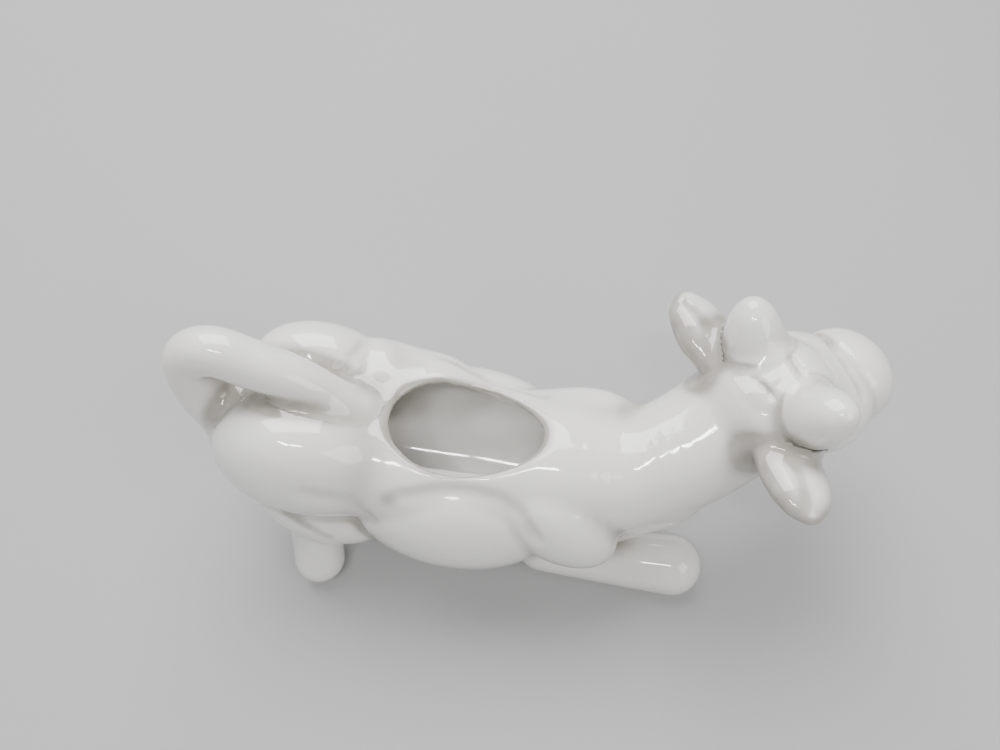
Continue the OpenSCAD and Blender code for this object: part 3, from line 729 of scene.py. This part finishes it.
def lute(seat, p, limb, width, rows):
    """Flare a bar's points into the luted joint with what carries it, and press the root into the wall"""
    start = seat(p)
    moved = p.copy()
    bad = np.zeros(len(p), bool)
    flared = np.abs(start) < width
    if flared.any():
        q = p[flared].copy()
        gap = start[flared]
        lift = (1 - np.abs(gap) / width) ** 2 * width / 4
        want_skin = np.where(gap > 0, gap + lift, lift)
        want_limb = np.where(gap > 0, lift, lift - gap)
        for turn_round in range(14):
            a, b = seat(q), limb(q)
            na, nb = slope(seat, q), slope(limb, q)
            ea, eb = want_skin - a, want_limb - b
            dot = np.clip((na * nb).sum(1), -0.97, 0.97)
            x = (ea - dot * eb) / (1 - dot * dot)
            y = (eb - dot * ea) / (1 - dot * dot)
            move = x[:, None] * na + y[:, None] * nb
            far = np.linalg.norm(move, axis=1)
            q += move * np.minimum(1, 0.8 / np.maximum(far, 1e-9))[:, None]
        missed = np.abs(want_skin - seat(q)) + np.abs(want_limb - limb(q)) > 0.6
        moved[flared] = q
        bad[flared] = missed | (np.linalg.norm(q - p[flared], axis=1) > 1.3 * width)
    deep = start <= -width
    if deep.any():
        q = p[deep]
        for turn_round in range(8):
            q -= np.minimum(seat(q) + ROOT_SINK, 0)[:, None] * slope(seat, q)
        moved[deep] = q
    shift, bad = (moved - p).reshape(rows, -1, 3), bad.reshape(rows, -1)
    shift[bad] = 0
    for turn_round in range(60):
        padded = np.vstack([shift[:1], shift, shift[-1:]])
        near = (padded[:-2] + padded[2:] + np.roll(shift, 1, 1) + np.roll(shift, -1, 1)) / 4
        shift[bad] = near[bad]
    p += shift.reshape(-1, 3)
    return start


def seat_bar(name, node, bar, middles, cow, seat, limb, width, tool=None, ramp=None):
    """Lute a rolled bar to the cow and finish it as a piece; a ramp lets its root rise slowly out of the skin"""
    def place(p):
        bar.vertices.foreach_set("co", cow.to_frame(p).ravel())
        bar.update()
        return vectors(bar, "normal")
    p = cast_bar(vectors(bar) * 1000 - cow.shift, middles, limb)
    start = lute(seat, p, limb, width, len(middles))
    if ramp is not None:
        along = np.append(0, np.cumsum(np.linalg.norm(np.diff(middles, axis=0), axis=1)))
        free = np.maximum(along - along[np.argmax(seat(middles) > 0)] + ramp, 0)
        limit = np.repeat(free * (RAMP.slope + RAMP.curve * free), len(p) // len(middles)) - ROOT_SINK
        for turn_round in range(8):
            p -= np.maximum(seat(p) - limit, 0)[:, None] * slope(seat, p)
        start = np.minimum(start, seat(p))
    p[:, 2] = np.maximum(p[:, 2], 0)
    normals = place(p)
    if tool is not None:
        p = p - tool(p)[:, None] * normals
        normals = place(p)
    blend = np.clip((width * 0.7 - start) / width, 0, 1)[:, None]
    blend[start < -width] = 0
    normals = (1 - blend) * normals + blend * slope(cow.whole, p)
    normals /= np.linalg.norm(normals, axis=1)[:, None]
    # painted shade in creases for this piece, from how little open air lies round each point
    finish_piece(name, bar, node, cow, normals, painted_shade(cow, p, normals))


def roll_limb(kit, limb, name, node):
    """Roll a leg or the tail and lute it to the body"""
    cow = Cow(kit)
    balls = cow.limbs[limb]
    rows, middles = rings(balls)
    bar = roll_bar(name, np.c_[cow.to_frame(rows[:, :3]), rows[:, 3] / 1000], kit.look.sides)
    seat_bar(name, node, bar, middles, cow, cow.skin, lambda p: chain(p, balls), cow.l.lute)


# Materials

def glaze_and_shade_group():
    """How the glaze looks: painted shade darkening the creases, slow colour drift, iron specks and a faint ripple"""
    group = bpy.data.node_groups.get("Glaze and shade")
    if group:
        return group
    group = bpy.data.node_groups.new("Glaze and shade", "ShaderNodeTree")
    face = group.interface
    # the dark colour and its amount among these inputs paint shade into the creases
    for label, kind, value in (
            ("Vector", "NodeSocketVector", None), ("Painted shade amount", "NodeSocketFloat", 0.0),
            ("White", "NodeSocketColor", (0.87, 0.86, 0.83, 1)), ("Cream", "NodeSocketColor", (0.85, 0.81, 0.73, 1)),
            ("Painted shade", "NodeSocketColor", (0.36, 0.335, 0.29, 1)), ("Gloss", "NodeSocketFloat", 0.07)):
        socket = face.new_socket(label, in_out="INPUT", socket_type=kind)
        if value is not None:
            socket.default_value = value
    face.new_socket("Color", in_out="OUTPUT", socket_type="NodeSocketColor")
    face.new_socket("Roughness", in_out="OUTPUT", socket_type="NodeSocketFloat")
    face.new_socket("Height", in_out="OUTPUT", socket_type="NodeSocketFloat")
    nodes, link = group.nodes, group.links.new
    start, end = nodes.new("NodeGroupInput"), nodes.new("NodeGroupOutput")

    def noise(scale, detail):
        node = nodes.new("ShaderNodeTexNoise")
        node.inputs["Scale"].default_value = scale
        node.inputs["Detail"].default_value = detail
        link(start.outputs["Vector"], node.inputs["Vector"])
        return node.outputs["Fac"]

    def ramp(value, low, high, floor=0.0, top=1.0):
        node = nodes.new("ShaderNodeMapRange")
        node.interpolation_type = "SMOOTHSTEP"
        for key, number in (("From Min", low), ("From Max", high), ("To Min", floor), ("To Max", top)):
            node.inputs[key].default_value = number
        link(value, node.inputs["Value"])
        return node.outputs["Result"]

    def mix(factor, a, b):
        node = nodes.new("ShaderNodeMix")
        node.data_type = "RGBA"
        link(factor, node.inputs["Factor"])
        for source, socket in ((a, node.inputs[6]), (b, node.inputs[7])):
            if isinstance(source, tuple):
                socket.default_value = source
            else:
                link(source, socket)
        return node.outputs[2]

    def calc(operation, a, b):
        node = nodes.new("ShaderNodeMath")
        node.operation = operation
        for value, socket in ((a, node.inputs[0]), (b, node.inputs[1])):
            if isinstance(value, (int, float)):
                socket.default_value = value
            else:
                link(value, socket)
        return node.outputs[0]

    drift = ramp(noise(38, 3), 0.42, 0.72, 0, 0.55)
    base = mix(drift, start.outputs["White"], start.outputs["Cream"])
    # painted shade: the dark colour is mixed in where the crease shade amount is high, broken up a little by noise
    shade_mix = calc("MULTIPLY", ramp(start.outputs["Painted shade amount"], 0.0, 0.95), ramp(noise(160, 2), 0.2, 0.8, 0.7, 1))
    base = mix(shade_mix, base, start.outputs["Painted shade"])
    specks = nodes.new("ShaderNodeTexVoronoi")
    specks.inputs["Scale"].default_value = 95
    link(start.outputs["Vector"], specks.inputs["Vector"])
    spot = ramp(specks.outputs["Distance"], 0.02, 0.034, 1, 0)
    chosen = ramp(noise(55, 0), 0.6, 0.63)
    base = mix(calc("MULTIPLY", calc("MULTIPLY", spot, chosen), 0.75), base, (0.12, 0.1, 0.08, 1))
    link(base, end.inputs["Color"])
    rough = calc("ADD", start.outputs["Gloss"], ramp(noise(220, 3), 0.45, 0.8, 0, 0.06))
    link(rough, end.inputs["Roughness"])
    ripple = calc("ADD", calc("MULTIPLY", noise(70, 2), 1.0), calc("MULTIPLY", noise(420, 2), 0.12))
    link(ripple, end.inputs["Height"])
    return group


def porcelain_material(look):
    """White glazed porcelain"""
    material = bpy.data.materials.new("Porcelain glaze")
    material.use_nodes = True
    nodes, link = material.node_tree.nodes, material.node_tree.links.new
    shader = nodes["Principled BSDF"]
    where = nodes.new("ShaderNodeTexCoord")
    # the per-point painted crease shade and its dark colour feed the glaze group
    crease = nodes.new("ShaderNodeAttribute")
    crease.attribute_name = "painted_shade"
    flow = nodes.new("ShaderNodeGroup")
    flow.node_tree = glaze_and_shade_group()
    link(where.outputs["Object"], flow.inputs["Vector"])
    link(crease.outputs["Fac"], flow.inputs["Painted shade amount"])
    for label, colour in (("White", look.white), ("Cream", look.cream), ("Painted shade", look.pool)):
        flow.inputs[label].default_value = (*colour, 1)
    flow.inputs["Gloss"].default_value = look.gloss
    link(flow.outputs["Color"], shader.inputs["Base Color"])
    link(flow.outputs["Roughness"], shader.inputs["Roughness"])
    bump = nodes.new("ShaderNodeBump")
    bump.inputs["Strength"].default_value = 0.35
    bump.inputs["Distance"].default_value = 0.0006
    link(flow.outputs["Height"], bump.inputs["Height"])
    link(bump.outputs["Normal"], shader.inputs["Normal"])
    shader.inputs["IOR"].default_value = 1.55
    shader.inputs["Coat Weight"].default_value = 0.6
    shader.inputs["Coat Roughness"].default_value = 0.03
    shader.inputs["Subsurface Weight"].default_value = 0.12
    shader.inputs["Subsurface Radius"].default_value = (1.0, 0.8, 0.6)
    shader.inputs["Subsurface Scale"].default_value = 0.002
    return material


def floor_material():
    material = bpy.data.materials.new("Studio floor")
    material.use_nodes = True
    nodes, link = material.node_tree.nodes, material.node_tree.links.new
    shader = nodes["Principled BSDF"]
    where, grain, tint = nodes.new("ShaderNodeTexCoord"), nodes.new("ShaderNodeTexNoise"), nodes.new("ShaderNodeMix")
    tint.data_type = "RGBA"
    grain.inputs["Scale"].default_value = 6
    link(where.outputs["Object"], grain.inputs["Vector"])
    link(grain.outputs["Fac"], tint.inputs["Factor"])
    tint.inputs[6].default_value = (0.4, 0.4, 0.405, 1)
    tint.inputs[7].default_value = (0.43, 0.43, 0.43, 1)
    link(tint.outputs[2], shader.inputs["Base Color"])
    shader.inputs["Roughness"].default_value = 0.8
    return material


# Operators

class CREAMER_OT_glaze(bpy.types.Operator):
    """Mix the porcelain glaze"""
    bl_idname = "creamer.glaze"
    bl_label = "Mix glaze"

    def execute(self, context):
        porcelain_material(context.scene.creamer.look)
        return {"FINISHED"}


class CREAMER_OT_castings(bpy.types.Operator):
    """Cast the hollow body and head, joined at the nape"""
    bl_idname = "creamer.castings"
    bl_label = "Cast body and head"

    def execute(self, context):
        kit = context.scene.creamer
        cow = Cow(kit)
        step = kit.look.step * 1000
        points, faces = cast_skin(cow.shell, (-75, -36, 10), (112, 52, 84), step)
        normals = slope(cow.whole, points)
        # painted shade in creases for the castings, from how little open air lies round each point
        pool = painted_shade(cow, points, normals)
        ahead = (points[faces].mean(1) - cow.nape) @ cow.ahead > 0
        for name, node, mask in (("body_casting", "body_shell", ~ahead), ("head_casting", "head_shell", ahead)):
            used, local = np.unique(faces[mask], return_inverse=True)
            mesh = bpy.data.meshes.new(name)
            mesh.from_pydata(cow.to_frame(points[used]).tolist(), [], local.reshape(-1, 4).tolist())
            work = bmesh.new()
            work.from_mesh(mesh)
            rim = [e for e in work.edges if e.is_boundary]
            bmesh.ops.bridge_loops(work, edges=rim)
            work.to_mesh(mesh)
            work.free()
            finish_piece(name, mesh, node, cow, normals[used], pool[used])
        return {"FINISHED"}


class CREAMER_OT_tail(bpy.types.Operator):
    """Roll the tail that serves as the handle"""
    bl_idname = "creamer.tail"
    bl_label = "Roll tail"

    def execute(self, context):
        roll_limb(context.scene.creamer, "tail", "tail_bar", "tail_handle")
        return {"FINISHED"}


class CREAMER_OT_legs(bpy.types.Operator):
    """Roll the four legs and flatten their soles on the table"""
    bl_idname = "creamer.legs"
    bl_label = "Roll legs"

    def execute(self, context):
        for limb in ("right_fore", "left_fore", "right_hind", "left_hind"):
            roll_limb(context.scene.creamer, limb, limb + "_limb", limb + "_leg")
        return {"FINISHED"}


class CREAMER_OT_ears(bpy.types.Operator):
    """Roll and flatten the two ears and press their channels"""
    bl_idname = "creamer.ears"
    bl_label = "Roll ears"

    def execute(self, context):
        kit = context.scene.creamer
        cow = Cow(kit)
        flat = cow.l.ear_flat
        for side, word in ((-1, "right"), (1, "left")):
            balls = cow.ear_course(side)
            rows, middles = rings(balls, False)
            middles = (middles * np.array([1, 1, flat])) @ cow.axes.T + cow.skull
            bar = roll_bar(word + "_ear_leaf", rows / 1000, kit.look.sides, flat=flat)
            q = vectors(bar) * 1000
            bar.vertices.foreach_set("co", cow.to_frame(q @ cow.axes.T + cow.skull).ravel())
            middle = balls[:, :3] * np.array([1, 1, flat])
            top = middle + np.array([0, 0, 1]) * balls[:, 3:] * flat
            line = top[len(top) // 3:] - np.array([EAR.channel_back, 0, 0])

            def channel(p, line=line):
                return EAR_CHANNEL.depth * np.exp(-(to_line(cow.to_head(p), line) / EAR_CHANNEL.width) ** 2)

            def seat(p, side=side):
                return melt(cow.skin(p), cow.horn_depth(p, side), cow.l.horn_lute)
            seat_bar(word + "_ear_leaf", word + "_ear", bar, middles, cow, seat,
                     lambda p, s=side: cow.ear_depth(p, s), cow.l.horn_lute, channel, RAMP.start)
        return {"FINISHED"}


class CREAMER_OT_horns(bpy.types.Operator):
    """Roll the two blunt horns"""
    bl_idname = "creamer.horns"
    bl_label = "Roll horns"

    def execute(self, context):
        kit = context.scene.creamer
        cow = Cow(kit)
        for side, word in ((-1, "right"), (1, "left")):
            balls = cow.horn_course(side)
            rows, middles = rings(balls, False)
            middles = middles @ cow.axes.T + cow.skull
            rows[:, :3] = rows[:, :3] @ cow.axes.T + cow.skull + cow.shift
            bar = roll_bar(word + "_horn_stub", rows / 1000, kit.look.sides)
            seat_bar(word + "_horn_stub", word + "_horn", bar, middles, cow, cow.skin,
                     lambda p, s=side: cow.horn_depth(p, s), cow.l.horn_lute, ramp=RAMP.start)
        return {"FINISHED"}


class CREAMER_OT_stage(bpy.types.Operator):
    """Lay the pale floor, hang the soft lights and set the camera"""
    bl_idname = "creamer.stage"
    bl_label = "Set stage"

    def execute(self, context):
        scene = context.scene
        mesh = bpy.data.meshes.new("studio_floor")
        mesh.from_pydata([(-3, -3, 0), (3, -3, 0), (3, 3, 0), (-3, 3, 0)], [], [(0, 1, 2, 3)])
        mesh.materials.append(floor_material())
        floor = bpy.data.objects.new("studio_floor", mesh)
        scene.collection.objects.link(floor)
        world = bpy.data.worlds.new("Soft room")
        scene.world = world
        world.use_nodes = True
        world.node_tree.nodes["Background"].inputs["Color"].default_value = (0.95, 0.97, 1.0, 1)
        world.node_tree.nodes["Background"].inputs["Strength"].default_value = 0.3

        def softbox(name, place, aim, width, height, power, colour=(1, 1, 1)):
            light = bpy.data.lights.new(name, "AREA")
            light.shape = "RECTANGLE"
            light.size, light.size_y, light.energy, light.color = width, height, power, colour
            lamp = bpy.data.objects.new(name, light)
            lamp.location = place
            lamp.rotation_euler = (Vector(aim) - Vector(place)).to_track_quat("-Z", "Y").to_euler()
            scene.collection.objects.link(lamp)
        softbox("key_softbox", (-0.25, 0.5, 1.0), (0, 0, 0.03), 1.0, 0.9, 23)
        softbox("fill_softbox", (0.8, -0.35, 0.8), (0, 0, 0.03), 0.6, 0.6, 4, (1.0, 0.98, 0.95))
        for name, x in (("left_window_pane", -0.19), ("right_window_pane", 0.02)):
            softbox(name, (x, -0.36, 0.85), (-0.03, 0, 0.04), 0.17, 0.04, 1.6)
        view = bpy.data.cameras.new("photo_camera")
        view.sensor_width = SENSOR_MM
        view.lens = LENS_SHARE * SENSOR_MM
        view.clip_start = 0.01
        camera = bpy.data.objects.new("photo_camera", view)
        pitch, yaw = (math.radians(degrees) for degrees in CAMERA_TURNS)
        right = Vector((math.cos(yaw), math.sin(yaw), 0))
        level = Vector((-math.sin(yaw), math.cos(yaw), 0))
        ahead = math.cos(pitch) * level - math.sin(pitch) * Vector((0, 0, 1))
        up = math.sin(pitch) * level + math.cos(pitch) * Vector((0, 0, 1))
        spot = (np.array(CAMERA_SPOT) + Cow(scene.creamer).shift) / 1000
        camera.matrix_world = Matrix(((right.x, up.x, -ahead.x, spot[0]), (right.y, up.y, -ahead.y, spot[1]),
                                      (right.z, up.z, -ahead.z, spot[2]), (0, 0, 0, 1)))
        scene.collection.objects.link(camera)
        scene.camera = camera
        return {"FINISHED"}


class CreamerKit(bpy.types.PropertyGroup):
    """All sizes and looks of the creamer"""
    body: PointerProperty(type=BodySizes, name="Body", description="Sizes of the cast body")
    head: PointerProperty(type=HeadSizes, name="Head", description="Sizes of the neck and head")
    limbs: PointerProperty(type=LimbSizes, name="Limbs", description="Sizes of the rolled limbs")
    look: PointerProperty(type=GlazeLook, name="Glaze", description="Colours and finish of the glaze")


STEPS = (CREAMER_OT_glaze, CREAMER_OT_castings, CREAMER_OT_tail, CREAMER_OT_legs, CREAMER_OT_ears,
         CREAMER_OT_horns, CREAMER_OT_stage)


class CREAMER_PT_panel(bpy.types.Panel):
    """Sizes and steps of the cow creamer"""
    bl_label = "Cow creamer"
    bl_idname = "CREAMER_PT_panel"
    bl_space_type = "VIEW_3D"
    bl_region_type = "UI"
    bl_category = "Creamer"

    def draw(self, context):
        for label in ("body", "head", "limbs", "look"):
            group = getattr(context.scene.creamer, label)
            box = self.layout.box()
            box.label(text=label.capitalize())
            for prop in group.bl_rna.properties:
                if prop.identifier not in ("rna_type", "name"):
                    box.prop(group, prop.identifier)
        for step in STEPS:
            self.layout.operator(step.bl_idname)


CLASSES = (BodySizes, HeadSizes, LimbSizes, GlazeLook, CreamerKit, *STEPS, CREAMER_PT_panel)


def register():
    for cls in CLASSES:
        bpy.utils.register_class(cls)
    bpy.types.Scene.creamer = PointerProperty(type=CreamerKit)


def unregister():
    del bpy.types.Scene.creamer
    for cls in reversed(CLASSES):
        bpy.utils.unregister_class(cls)


def main():
    register()
    for step in STEPS:
        group, name = step.bl_idname.split(".")
        getattr(getattr(bpy.ops, group), name)()
    bpy.context.view_layer.update()


if __name__ == "__main__":
    main()
